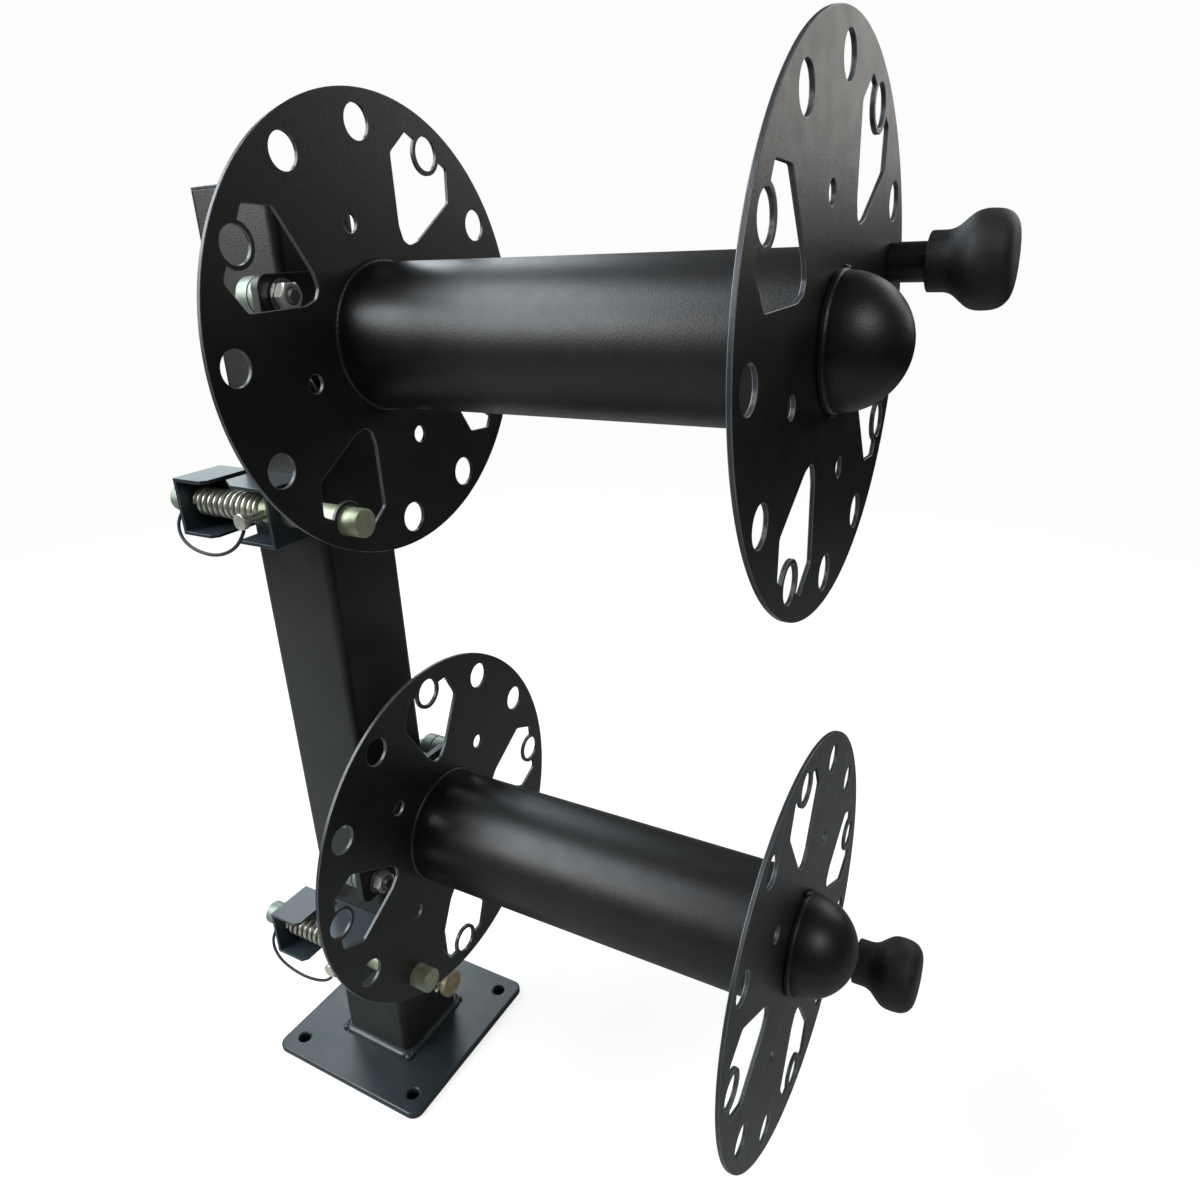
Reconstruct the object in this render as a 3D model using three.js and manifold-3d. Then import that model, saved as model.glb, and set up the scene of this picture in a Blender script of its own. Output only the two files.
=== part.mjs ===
// Two-tier crank reel stand: a square post on a base plate carries two cantilevered reels,
// each with a hand crank and a spring-loaded lock pin. Millimetres, +Z up.
// Origin: centre of the base plate's underside. The reels stick out towards -Y.
import * as THREE from 'three';
import { mergeVertices } from 'three/addons/utils/BufferGeometryUtils.js';
import Module from 'manifold-3d';

const wasm = await Module();
wasm.setup();

const gap = 0.3; // clearance left between any two neighbouring pieces
const rightAngle = Math.PI / 2;

const base = { size: 206, thick: 8, corner: 12, holePitch: 162, holeRadius: 6.5 };
const post = { width: 90, wall: 5, corner: 8, top: 908, weldLeg: 7 };
const cap = { thick: 4, plugDepth: 15, plugPlay: 0.6 };
const lowerAxis = 314;
const upperAxis = lowerAxis + 475;

const flange = {
  radius: 176,
  thick: 3.2,
  innerFace: -106.5, // the inner flange's face towards the drum
  centreHole: 24,
  rimCircle: 153.2,
  rimHole: 12.7,
  rimHoles: 12,
  smallCircle: 88,
  smallHole: 7,
  sides: 48,
};
const cutOut = { tip: 78, shoulder: 86, shoulderHalf: 12.5, wide: 132, wideHalf: 38 };
Object.assign(cutOut, { outer: 156, outerHalf: 27, ringRadius: 16.3, count: 4, ringSides: 4 });
const clearWidth = 360; // between the two flanges of a reel
const outerInside = flange.innerFace - clearWidth;
const outerOutside = outerInside - flange.thick;
const innerBack = flange.innerFace + flange.thick;

const drum = { radius: 56, wall: 4.5 };
const bush = { length: 22, bore: 20.4 };
const spindle = { radius: 20, bossRadius: 33, threadRadius: 12, threadLong: 24 };
const spindleNut = { acrossFlats: 36, thick: 18 };
const dome = { radius: 42.4, wall: 2.5, rim: 4, steps: 5 };

const plate = { width: 176, height: 104, thick: 8, corner: 10, front: -66 };
const block = { width: post.width, height: 90 };
const mountBolt = { x: 66, z: 35.5, radius: 6, hole: 6.4, collar: 15, collarLong: 13, groove: 1.5 };
Object.assign(mountBolt, { tail: 7, tailLong: 10, frontEnd: -80 });
const mountNut = { acrossFlats: 19, thick: 11 };

const handle = { circle: 140, angle: -45, stemRadius: 13.7, stemLong: 26.5, axleRadius: 6 };
Object.assign(handle, { hole: 6.4, axleLong: 44, tailLong: 12, nutFlats: 19, nutThick: 6 });
const knob = {
  boreDepth: 46,
  mouth: 19.6, // radius at the softened edge of the neck
  outside: [ // radius, and distance from the neck's end
    [20.6, 1.5], [20.6, 11], [23, 18], [28.5, 24.5], [31.8, 29.5], [33, 36], [32.5, 44.5],
    [30, 50.5], [25, 54.8], [18.5, 56.6], [0, 57],
  ],
};

const lockAngle = 242; // where the pin meets the rim-hole circle, from +X towards +Z
const lockRadians = THREE.MathUtils.degToRad(lockAngle);
const pinX = flange.rimCircle * Math.cos(lockRadians);
const pinZ = flange.rimCircle * Math.sin(lockRadians);
const plunger = { noseRadius: 11.8, chamfer: 1, noseFront: -124, noseBack: -14 };
Object.assign(plunger, { rodRadius: 6, rodEnd: 92, crossY: -22 });
const pull = { radius: 12.5, end: 99, bore: 6.3, chamfer: 2 };
const crossPin = { radius: 4, headRadius: 7, headOut: -110, headIn: -104, inner: -55 };
const bracket = { outX: -95.5, front: -42, back: 72, half: 25.4, sheet: 3 };
// The gaps in the bracket's top and bottom sheets, x and y, from the open side to the web and back
const webX = -post.width / 2 - gap - bracket.sheet;
const openX = bracket.outX - 5;
const topGap = [[openX, 42], [-90, 33], [webX, 33], [webX, 19], [-83, 19], [openX, -9]];
const lowGap = [[openX, 42], [-90, 33], [webX, 33], [webX, 2], [openX, 2]];
const spring = { radius: 11.2, wire: 2, turns: 11.5, stepsPerTurn: 7, wireSides: 5 };
const lanyard = { radius: 1.5, sides: 8, steps: 20 };
const stud = { headRadius: 15, headThick: 7, shankRadius: 8, z: 92, reach: 39 };

// Sides round each turned piece
const sides = { drum: 32, dome: 20, spindle: 16, bush: 16, plunger: 16, knob: 16, pull: 14, stem: 12 };
Object.assign(sides, { stud: 12, bolt: 8, crossPin: 8 });

const reels = [
  { name: 'upper', axis: upperAxis, ringAngle: lockAngle - 180 },
  { name: 'lower', axis: lowerAxis, ringAngle: lockAngle - 240 },
];

const finishes = {
  coat: { color: 0x1d2024, roughness: 0.42, metalness: 0.35 },
  blueCoat: { color: 0x2a3138, roughness: 0.4, metalness: 0.35 },
  zinc: { color: 0xa9b092, roughness: 0.38, metalness: 0.75 },
  brightSteel: { color: 0xc4c6c4, roughness: 0.25, metalness: 1 },
  springWire: { color: 0x8f8f80, roughness: 0.35, metalness: 0.9 },
  knobPlastic: { color: 0x131314, roughness: 0.6, metalness: 0 },
  cordJacket: { color: 0x0d0e0f, roughness: 0.5, metalness: 0 },
  bronze: { color: 0x8a6a3c, roughness: 0.4, metalness: 0.9 },
};

const object = new THREE.Group();

function addPiece(parent, name, geometry, finish) {
  const piece = new THREE.Mesh(geometry, new THREE.MeshStandardMaterial(finishes[finish]));
  piece.name = name;
  parent.add(piece);
  return piece;
}

// Geometry and manifold solids

function bare(geometry) {
  const copy = geometry.clone();
  copy.deleteAttribute('normal');
  copy.deleteAttribute('uv');
  return mergeVertices(copy, 1e-4);
}

function toSolid(geometry) {
  const merged = bare(geometry);
  const vertProperties = new Float32Array(merged.attributes.position.array);
  const triVerts = new Uint32Array(merged.index.array);
  return new wasm.Manifold(new wasm.Mesh({ numProp: 3, vertProperties, triVerts }));
}

function toGeometry(solid) {
  const mesh = solid.getMesh();
  const geometry = new THREE.BufferGeometry();
  geometry.setAttribute('position', new THREE.BufferAttribute(mesh.vertProperties, 3));
  geometry.setIndex(new THREE.BufferAttribute(mesh.triVerts, 1));
  return geometry;
}

function cut(geometry, ...tools) {
  return toGeometry(tools.reduce((solid, tool) => solid.subtract(toSolid(tool)), toSolid(geometry)));
}

function boxBetween(low, high) {
  const size = high.map((value, i) => value - low[i]);
  const centre = high.map((value, i) => (value + low[i]) / 2);
  return new THREE.BoxGeometry(...size).translate(...centre);
}

// Round bar between two points on a line along x or y, its flats at the given radius, for cutting
function barAlong(axis, radius, from, to, sides = 20) {
  const corner = radius / Math.cos(Math.PI / sides);
  const bar = new THREE.CylinderGeometry(corner, corner, Math.abs(to - from), sides);
  const middle = (from + to) / 2;
  return axis === 'x' ? bar.rotateZ(rightAngle).translate(middle, 0, 0) : bar.translate(0, middle, 0);
}

// Turned piece about the Y axis: the profile is a list of [radius, y], in order from +Y to -Y
// along the outside, ending on the axis or closing on itself
function turned(profile, sides) {
  const points = profile.map(([radius, y]) => new THREE.Vector2(radius, y));
  return outward(new THREE.LatheGeometry(points, sides));
}

// Ring-shaped turned piece: the closed section is given once round
function turnedRing(section, sides) {
  return turned([...section, section[0]], sides);
}

// Turns a closed geometry's faces outwards when its signed volume is negative
function outward(geometry) {
  const merged = bare(geometry);
  const index = merged.index.array;
  const at = (i) => new THREE.Vector3().fromBufferAttribute(merged.attributes.position, index[i]);
  let volume = 0;
  for (let i = 0; i < index.length; i += 3) volume += at(i).dot(at(i + 1).cross(at(i + 2)));
  if (volume < 0) index.reverse();
  return merged;
}

function circle(x, y, radius, sides) {
  const points = Array.from({ length: sides }, (_, i) => {
    const angle = (i / sides) * 2 * Math.PI;
    return new THREE.Vector2(x + radius * Math.cos(angle), y + radius * Math.sin(angle));
  });
  return new THREE.Path().setFromPoints(points);
}

// Many-sided hole whose flats, not its corners, are at the given radius
function hole(x, y, radius, sides) {
  return circle(x, y, radius / Math.cos(Math.PI / sides), sides);
}

function roundedRect(width, height, corner) {
  const x = width / 2 - corner;
  const y = height / 2 - corner;
  const shape = new THREE.Shape();
  shape.moveTo(x + corner, -y);
  shape.absarc(x, y, corner, 0, rightAngle);
  shape.absarc(-x, y, corner, rightAngle, 2 * rightAngle);
  shape.absarc(-x, -y, corner, 2 * rightAngle, 3 * rightAngle);
  shape.absarc(x, -y, corner, 3 * rightAngle, 4 * rightAngle);
  return shape;
}

// Sheet cut to a shape drawn in x and z, its face towards +Y at the given y
function sheet(shape, thick, y) {
  const settings = { depth: thick, bevelEnabled: false, curveSegments: 2 };
  return outward(new THREE.ExtrudeGeometry(shape, settings).rotateX(rightAngle).translate(0, y, 0));
}

// Upright extrusion of a shape drawn in x and y
function upright(shape, low, high) {
  const settings = { depth: high - low, bevelEnabled: false, curveSegments: 2 };
  return outward(new THREE.ExtrudeGeometry(shape, settings).translate(0, 0, low));
}

function hexNut(acrossFlats, boreRadius, thick, y) {
  const corner = acrossFlats / Math.sqrt(3);
  const shape = new THREE.Shape(circle(0, 0, corner, 6).getPoints());
  shape.holes.push(hole(0, 0, boreRadius, 8));
  return sheet(shape, thick, y);
}

function alongCurve(curve, radius, sides, steps) {
  const section = new THREE.Shape(circle(0, 0, radius, sides).getPoints());
  return outward(new THREE.ExtrudeGeometry(section, { steps, bevelEnabled: false, extrudePath: curve }));
}

// Stand

function basePlate() {
  const shape = roundedRect(base.size, base.size, base.corner);
  for (const x of [-1, 1]) {
    for (const y of [-1, 1]) {
      shape.holes.push(hole((x * base.holePitch) / 2, (y * base.holePitch) / 2, base.holeRadius, 10));
    }
  }
  return upright(shape, 0, base.thick);
}

function postTube() {
  const shape = roundedRect(post.width, post.width, post.corner);
  const inside = post.width - 2 * post.wall;
  shape.holes.push(new THREE.Path(roundedRect(inside, inside, post.corner - post.wall).getPoints(2)));
  return upright(shape, base.thick + gap, post.top - cap.thick - gap);
}

function postCap() {
  const inside = post.width - 2 * post.wall - 2 * cap.plugPlay;
  const low = post.top - cap.thick;
  const lid = upright(roundedRect(post.width, post.width, post.corner), low, post.top);
  const plug = upright(roundedRect(inside, inside, 2), low - cap.plugDepth, low + 1);
  return toGeometry(toSolid(lid).add(toSolid(plug)));
}

// Fillet weld: a triangular bead running round the four sides of the post's foot
function footWeld() {
  const inner = (post.width / 2 + gap) * Math.SQRT2;
  const leg = post.weldLeg * Math.SQRT2;
  const low = base.thick + gap;
  const section = [[inner, low], [inner + leg, low], [inner, low + post.weldLeg]];
  return turnedRing(section, 4).rotateY(rightAngle / 2).rotateX(rightAngle);
}

function frontStud() {
  const start = -post.width / 2 - gap;
  const neck = start - stud.reach + stud.headThick;
  const end = start - stud.reach;
  const profile = [[0, start], [stud.shankRadius, start], [stud.shankRadius, neck]];
  profile.push([stud.headRadius, neck], [stud.headRadius, end + 1], [stud.headRadius - 1, end], [0, end]);
  return turned(profile, sides.stud).translate(0, 0, stud.z);
}

addPiece(object, 'base_plate', basePlate(), 'blueCoat');
addPiece(object, 'post', postTube(), 'coat');
addPiece(object, 'post_cap', postCap(), 'knobPlastic');
addPiece(object, 'post_foot_weld', footWeld(), 'blueCoat');
addPiece(object, 'front_stud', frontStud(), 'zinc');

// Reel mount on the post, drawn about the reel's axis

const postFront = -post.width / 2 - gap;
const plateBack = plate.front + plate.thick;

function mountPlate() {
  const shape = roundedRect(plate.width, plate.height, plate.corner);
  shape.holes.push(hole(0, 0, spindle.radius + gap, 12));
  for (const [x, z] of mountBoltPlaces()) shape.holes.push(hole(x, z, mountBolt.hole, 8));
  return sheet(shape, plate.thick, plateBack);
}

function mountBoltPlaces() {
  const { x, z } = mountBolt;
  return [[-x, z], [-x, -z], [x, z], [x, -z]];
}

function spindleBlock() {
  const shape = roundedRect(block.width, block.height, 3);
  shape.holes.push(hole(0, 0, spindle.radius + gap, 12));
  return sheet(shape, postFront - plateBack - gap, postFront);
}

function spindleBar() {
  const bossBack = plate.front - gap;
  const bossFront = innerBack + gap;
  const neck = outerInside;
  const profile = [[0, postFront], [spindle.radius, postFront], [spindle.radius, bossBack]];
  profile.push([spindle.bossRadius, bossBack], [spindle.bossRadius, bossFront]);
  profile.push([spindle.radius, bossFront], [spindle.radius, neck], [spindle.threadRadius, neck]);
  profile.push([spindle.threadRadius, neck - spindle.threadLong], [0, neck - spindle.threadLong]);
  return turned(profile, sides.spindle);
}

// Shouldered bolt: two thick collars behind the plate, a short tail, and the threaded end in front
function shoulderBolt() {
  const { radius, collar, collarLong, groove, tail, tailLong, frontEnd } = mountBolt;
  const start = plateBack + gap;
  const middle = start + collarLong;
  const rear = middle + collarLong;
  const profile = [[0, rear + tailLong], [tail, rear + tailLong], [tail, rear], [collar, rear]];
  profile.push([collar, middle + groove / 2], [collar - groove, middle], [collar, middle - groove / 2]);
  profile.push([collar, start], [radius, start], [radius, frontEnd], [0, frontEnd]);
  return turned(profile, sides.bolt);
}

// Lock: bracket on the post's -X face, drawn about the pin's axis

function lockBracket() {
  const { outX, front, back, half, sheet: metal } = bracket;
  const faceX = -post.width / 2 - gap;
  const body = boxBetween([outX, front, -half], [faceX, back, half]);
  const room = boxBetween([openX, front + metal, metal - half], [webX, back - metal, half - metal]);
  const outline = (points) => new THREE.Shape(points.map(([x, y]) => new THREE.Vector2(x, y)));
  const tools = [
    room,
    upright(outline(topGap), half - metal - 1, half + 1),
    upright(outline(lowGap), -half - 1, metal - half + 1),
    barAlong('y', plunger.noseRadius + gap, front - 1, front + metal + 1).translate(pinX, 0, 0),
    barAlong('y', plunger.rodRadius + gap, back - metal - 1, back + 1).translate(pinX, 0, 0),
  ];
  return cut(body, ...tools).translate(-pinX, 0, 0);
}

function lockPlunger() {
  const { noseRadius, chamfer, noseFront, noseBack, rodRadius, rodEnd, crossY } = plunger;
  const profile = [[0, rodEnd], [rodRadius, rodEnd], [rodRadius, noseBack], [noseRadius, noseBack]];
  profile.push([noseRadius, noseFront + chamfer], [noseRadius - chamfer, noseFront], [0, noseFront]);
  const crossHole = barAlong('x', crossPin.radius + gap, -noseRadius - 1, noseRadius + 1, 12);
  return cut(turned(profile, sides.plunger), crossHole.translate(0, crossY, 0));
}

function pullHead() {
  const start = bracket.back + gap;
  const bottom = plunger.rodEnd + gap;
  const section = [[0, pull.end], [pull.radius - pull.chamfer, pull.end]];
  section.push([pull.radius, pull.end - pull.chamfer], [pull.radius, start], [pull.bore, start]);
  section.push([pull.bore, bottom], [0, bottom]);
  return turned(section, sides.pull);
}

function crossPinBar() {
  const { radius, headRadius, headOut, headIn, inner } = crossPin;
  const profile = [[0, headOut], [headRadius - 1, headOut], [headRadius, headOut + 1]];
  profile.push([headRadius, headIn], [radius, headIn], [radius, inner], [0, inner]);
  return turned(profile, sides.crossPin).rotateZ(-rightAngle).translate(-pinX, plunger.crossY, 0);
}

class Helix extends THREE.Curve {
  constructor(radius, turns, from, to) {
    super();
    Object.assign(this, { radius, turns, from, to, arcLengthDivisions: 1000 });
  }
  getPoint(t, target = new THREE.Vector3()) {
    const angle = t * this.turns * 2 * Math.PI;
    const y = THREE.MathUtils.lerp(this.from, this.to, t);
    return target.set(this.radius * Math.cos(angle), y, this.radius * Math.sin(angle));
  }
}

function lockSpring() {
  const front = plunger.noseBack + gap + spring.wire + 0.2;
  const back = bracket.back - bracket.sheet - gap - spring.wire - 0.2;
  const coil = new Helix(spring.radius, spring.turns, front, back);
  return alongCurve(coil, spring.wire, spring.wireSides, Math.round(spring.turns * spring.stepsPerTurn));
}

// Lanyard: from the side of the pull head, down and forward outside the bracket, up to the
// cross pin's head. Each point is x, y and height above the pin's axis.
const lanyardRoute = [
  [-82.6, 84, -7.4], [-87, 84.2, -11.5], [-91, 83.5, -17.5], [-94, 80.5, -24], [-96.2, 74.5, -30],
  [-97.8, 66, -34.3], [-98.8, 56, -37], [-99.5, 45, -38.3], [-100.2, 34, -38.2], [-101, 23, -36.4],
  [-102, 12, -33], [-103.3, 1.5, -28.2], [-104.8, -8, -22.2], [-106.3, -16, -15.2], [-107, -21, -9.5],
  [-107, -22, -7.4],
];

function lockLanyard() {
  const points = lanyardRoute.map(([x, y, z]) => new THREE.Vector3(x - pinX, y, z));
  return alongCurve(new THREE.CatmullRomCurve3(points), lanyard.radius, lanyard.sides, lanyard.steps);
}

// Reel: flanges are drawn with a ring-held hole on +X, then the whole reel is turned

// Cut-out outline: a rounded tip towards the centre, two slanted sides, a flat outer edge,
// and a round bite that leaves a ring of metal about a rim hole
function cutOutPath(angle) {
  const c = cutOut;
  const start = Math.acos((c.outer - flange.rimCircle) / c.ringRadius);
  const half = [[c.tip, 4], [c.shoulder, c.shoulderHalf], [c.wide, c.wideHalf], [c.outer, c.outerHalf]];
  for (let i = 0; i < c.ringSides; i += 1) {
    const turn = start + ((Math.PI - start) * 2 * i) / (2 * c.ringSides - 1);
    half.push([flange.rimCircle + c.ringRadius * Math.cos(turn), c.ringRadius * Math.sin(turn)]);
  }
  const mirrored = half.map(([u, v]) => [u, -v]).reverse();
  const points = [...half, ...mirrored].map(([u, v]) => new THREE.Vector2(u, v));
  return new THREE.Path(points.map((point) => point.rotateAround(new THREE.Vector2(), angle)));
}

function flangePlate(y, withHandleHole) {
  const shape = new THREE.Shape(circle(0, 0, flange.radius, flange.sides).getPoints());
  const place = (radius, angle, holeRadius, sides) =>
    hole(radius * Math.cos(angle), radius * Math.sin(angle), holeRadius, sides);
  shape.holes.push(hole(0, 0, flange.centreHole, 12));
  for (let i = 0; i < flange.rimHoles; i += 1) {
    const angle = (i / flange.rimHoles) * 2 * Math.PI;
    shape.holes.push(place(flange.rimCircle, angle, flange.rimHole, 9));
  }
  for (let i = 0; i < cutOut.count; i += 1) {
    const angle = i * rightAngle;
    shape.holes.push(cutOutPath(angle));
    shape.holes.push(place(flange.smallCircle, angle + rightAngle / 2, flange.smallHole, 6));
  }
  if (withHandleHole) {
    shape.holes.push(place(handle.circle, THREE.MathUtils.degToRad(handle.angle), handle.hole, 10));
  }
  return sheet(shape, flange.thick, y);
}

function tube(outer, inner, from, to, sides) {
  return turnedRing([[inner, from], [outer, from], [outer, to], [inner, to]], sides);
}

function domeCap() {
  const start = outerOutside - gap;
  const centre = start - dome.rim;
  const arc = (radius) =>
    Array.from({ length: dome.steps + 1 }, (_, i) => {
      const angle = (i / dome.steps) * rightAngle;
      return [radius * Math.cos(angle), centre - radius * Math.sin(angle)];
    });
  const outside = arc(dome.radius);
  const inside = arc(dome.radius - dome.wall).reverse();
  for (const end of [outside.at(-1), inside[0]]) end[0] = 0;
  const profile = [[dome.radius, start], ...outside, ...inside, [dome.radius - dome.wall, start]];
  return turned([...profile, profile[0]], sides.dome);
}

function handleStem() {
  const tailEnd = outerInside + handle.tailLong;
  const start = outerOutside - gap;
  const stemEnd = start - handle.stemLong;
  const axleEnd = stemEnd - handle.axleLong;
  const profile = [[0, tailEnd], [handle.axleRadius, tailEnd], [handle.axleRadius, start]];
  profile.push([handle.stemRadius, start], [handle.stemRadius, stemEnd], [handle.axleRadius, stemEnd]);
  profile.push([handle.axleRadius, axleEnd], [0, axleEnd]);
  return turned(profile, sides.stem);
}

function handleKnob() {
  const start = outerOutside - gap - handle.stemLong - gap;
  const bore = handle.axleRadius + gap;
  const section = [[bore, 0], [knob.mouth, 0], ...knob.outside, [0, knob.boreDepth], [bore, knob.boreDepth]];
  return turnedRing(section.map(([radius, along]) => [radius, start - along]), sides.knob);
}

for (const reel of reels) {
  const piece = (parent, name, geometry, finish) =>
    addPiece(parent, `${reel.name}_${name}`, geometry, finish);

  const mount = new THREE.Group();
  mount.position.z = reel.axis;
  object.add(mount);
  piece(mount, 'mount_plate', mountPlate(), 'coat');
  piece(mount, 'spindle_block', spindleBlock(), 'coat');
  piece(mount, 'spindle', spindleBar(), 'brightSteel');
  const nutBack = outerInside - gap;
  const bigNut = hexNut(spindleNut.acrossFlats, spindle.threadRadius + gap, spindleNut.thick, nutBack);
  piece(mount, 'spindle_nut', bigNut, 'zinc');
  mountBoltPlaces().forEach(([x, z], i) => {
    piece(mount, `mount_bolt_${i + 1}`, shoulderBolt(), 'zinc').position.set(x, 0, z);
    const nut = hexNut(mountNut.acrossFlats, mountBolt.radius + gap, mountNut.thick, plate.front - gap);
    piece(mount, `mount_nut_${i + 1}`, nut, 'brightSteel').position.set(x, 0, z);
  });

  const lock = new THREE.Group();
  lock.position.set(pinX, 0, reel.axis + pinZ);
  object.add(lock);
  piece(lock, 'lock_bracket', lockBracket(), 'blueCoat');
  piece(lock, 'lock_plunger', lockPlunger(), 'zinc');
  piece(lock, 'lock_pull', pullHead(), 'zinc');
  piece(lock, 'lock_cross_pin', crossPinBar(), 'zinc');
  piece(lock, 'lock_spring', lockSpring(), 'springWire');
  piece(lock, 'lock_lanyard', lockLanyard(), 'cordJacket');

  const turning = new THREE.Group();
  turning.position.z = reel.axis;
  turning.rotation.y = -THREE.MathUtils.degToRad(reel.ringAngle);
  object.add(turning);
  piece(turning, 'inner_flange', flangePlate(innerBack, false), 'coat');
  piece(turning, 'outer_flange', flangePlate(outerInside, true), 'coat');
  const drumInner = drum.radius - drum.wall;
  const drumBack = flange.innerFace - gap;
  const drumFront = outerInside + gap;
  piece(turning, 'drum', tube(drum.radius, drumInner, drumBack, drumFront, sides.drum), 'coat');
  const bushes = [['inner_bush', drumBack], ['outer_bush', drumFront + bush.length]];
  for (const [name, start] of bushes) {
    const ring = tube(drumInner - gap, bush.bore, start, start - bush.length, sides.bush);
    piece(turning, name, ring, 'bronze');
  }
  piece(turning, 'dome_cap', domeCap(), 'coat');

  const handleGroup = new THREE.Group();
  const handleAngle = THREE.MathUtils.degToRad(handle.angle);
  handleGroup.position.set(handle.circle * Math.cos(handleAngle), 0, handle.circle * Math.sin(handleAngle));
  turning.add(handleGroup);
  piece(handleGroup, 'handle_stem', handleStem(), 'coat');
  const innerNut = hexNut(handle.nutFlats, handle.axleRadius + gap, handle.nutThick,
    outerInside + gap + handle.nutThick);
  piece(handleGroup, 'handle_nut', innerNut, 'zinc');
  piece(handleGroup, 'handle_knob', handleKnob(), 'knobPlastic');
}

export default object;
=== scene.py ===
# Two-tier crank reel stand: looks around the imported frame. Sizes in the dictionaries are millimetres,
# and addPiece turns them into metres.
import math

import bmesh
import bpy
import numpy as np
from mathutils import Matrix, Vector, geometry


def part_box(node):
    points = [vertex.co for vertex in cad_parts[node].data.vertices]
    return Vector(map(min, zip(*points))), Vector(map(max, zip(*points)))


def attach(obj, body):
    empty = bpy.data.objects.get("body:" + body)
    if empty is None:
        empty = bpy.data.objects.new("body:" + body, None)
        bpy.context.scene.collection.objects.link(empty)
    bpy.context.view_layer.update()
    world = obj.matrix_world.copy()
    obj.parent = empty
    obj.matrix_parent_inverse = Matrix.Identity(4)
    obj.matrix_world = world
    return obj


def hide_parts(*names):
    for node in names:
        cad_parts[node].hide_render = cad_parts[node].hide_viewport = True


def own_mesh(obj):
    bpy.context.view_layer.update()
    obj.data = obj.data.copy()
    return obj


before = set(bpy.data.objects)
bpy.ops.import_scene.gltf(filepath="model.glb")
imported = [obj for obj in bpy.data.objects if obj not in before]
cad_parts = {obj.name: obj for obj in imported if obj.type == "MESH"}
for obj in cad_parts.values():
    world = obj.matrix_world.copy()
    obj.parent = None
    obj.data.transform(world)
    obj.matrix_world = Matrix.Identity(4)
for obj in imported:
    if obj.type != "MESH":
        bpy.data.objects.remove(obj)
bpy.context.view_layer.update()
metresPerMm = 0.001
reels = ("upper", "lower")
print("frame loaded:", len(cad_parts), "nodes")


# ---- camera, lights, floor

camera = {
    "place": (-0.57389, -0.62285, 0.85469),
    "turn": -59.615,  # degrees about Z, 0 looks along +Y
    "rise": 22.517,  # degrees that it looks down
    "roll": -2.5835,
    "lens": 26.846,
    "sensor": 36,
    "shift": (0.0064, 0.0085),
}


def makeCamera(spec):
    # right = (cos t, sin t, 0), back = (sin t cos e, -cos t cos e, sin e), up = back x right, then rolled
    turn, rise, roll = (math.radians(spec[key]) for key in ("turn", "rise", "roll"))
    right = Vector((math.cos(turn), math.sin(turn), 0))
    back = Vector((math.sin(turn) * math.cos(rise), -math.cos(turn) * math.cos(rise), math.sin(rise)))
    up = back.cross(right)
    rolledRight = math.cos(roll) * right + math.sin(roll) * up
    rolledUp = math.cos(roll) * up - math.sin(roll) * right
    data = bpy.data.cameras.new("viewCamera")
    data.sensor_width = spec["sensor"]
    data.lens = spec["lens"]
    data.shift_x, data.shift_y = spec["shift"]
    data.clip_start = 0.01
    body = bpy.data.objects.new("viewCamera", data)
    bpy.context.scene.collection.objects.link(body)
    turned3 = Matrix((rolledRight, rolledUp, back)).transposed().to_4x4()
    body.matrix_world = Matrix.Translation(spec["place"]) @ turned3
    bpy.context.scene.camera = body


lights = {
    "skyPanel": {"place": (-1.0, 1.6, 2.7), "aim": (0, -0.2, 0.6), "size": 2.0, "power": 105,
                 "tint": (0.88, 0.94, 1)},
    "sidePanel": {"place": (-2.4, 1.2, 2.0), "aim": (0, -0.2, 0.7), "size": 1.2, "power": 40,
                  "tint": (0.94, 0.97, 1)},
    "farPanel": {"place": (2.6, 2.6, 1.9), "aim": (0, -0.1, 0.7), "size": 2.4, "power": 30,
                 "tint": (0.84, 0.95, 1)},
    "highPanel": {"place": (1.7, 1.9, 2.6), "aim": (0, 0, 0.2), "size": 1.3, "power": 22,
                  "tint": (0.84, 0.94, 1)},
    "leftPanel": {"place": (-2.1, 2.2, 1.5), "aim": (0, -0.1, 0.7), "size": 1.1, "power": 18,
                  "tint": (0.96, 1, 0.95)},
    "frontPanel": {"place": (-1.2, -2.4, 2.5), "aim": (0, -0.3, 0.5), "size": 1.2, "power": 24,
                   "tint": (1, 0.98, 0.94)},
    "rightPanel": {"place": (3.3, -1.5, 2.0), "aim": (0, -0.2, 0.8), "size": 2.0, "power": 24,
                   "tint": (1, 0.98, 0.94)},
}


def makeLights(panels):
    for name, spec in panels.items():
        data = bpy.data.lights.new(name, "AREA")
        data.shape = "SQUARE"
        data.size = spec["size"]
        data.energy = spec["power"]
        data.color = spec["tint"]
        panel = bpy.data.objects.new(name, data)
        bpy.context.scene.collection.objects.link(panel)
        panel.location = spec["place"]
        towards = Vector(spec["aim"]) - Vector(spec["place"])
        panel.rotation_euler = towards.to_track_quat("-Z", "Y").to_euler()


def startMaterial(name):
    material = bpy.data.materials.new(name)
    material.use_nodes = True
    tree = material.node_tree
    return material, tree, tree.nodes["Principled BSDF"]


def remap(tree, value, low, high, start=0.3, end=0.7):
    node = tree.nodes.new("ShaderNodeMapRange")
    node.inputs["From Min"].default_value = start
    node.inputs["From Max"].default_value = end
    node.inputs["To Min"].default_value = low
    node.inputs["To Max"].default_value = high
    tree.links.new(value, node.inputs["Value"])
    return node.outputs["Result"]


# paintedFootShade: painted shade, the floor is black under the base plate
room = {"air": (0.975, 0.98, 0.972), "airDim": 0.1, "floorSize": 60, "floorDepth": -0.0008,
        "floorPaint": 0.34,
        "floorGlow": 0.8, "floorFade": (0.9, 2.6), "paintedFootShade": (0.09, 0.1)}


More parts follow.
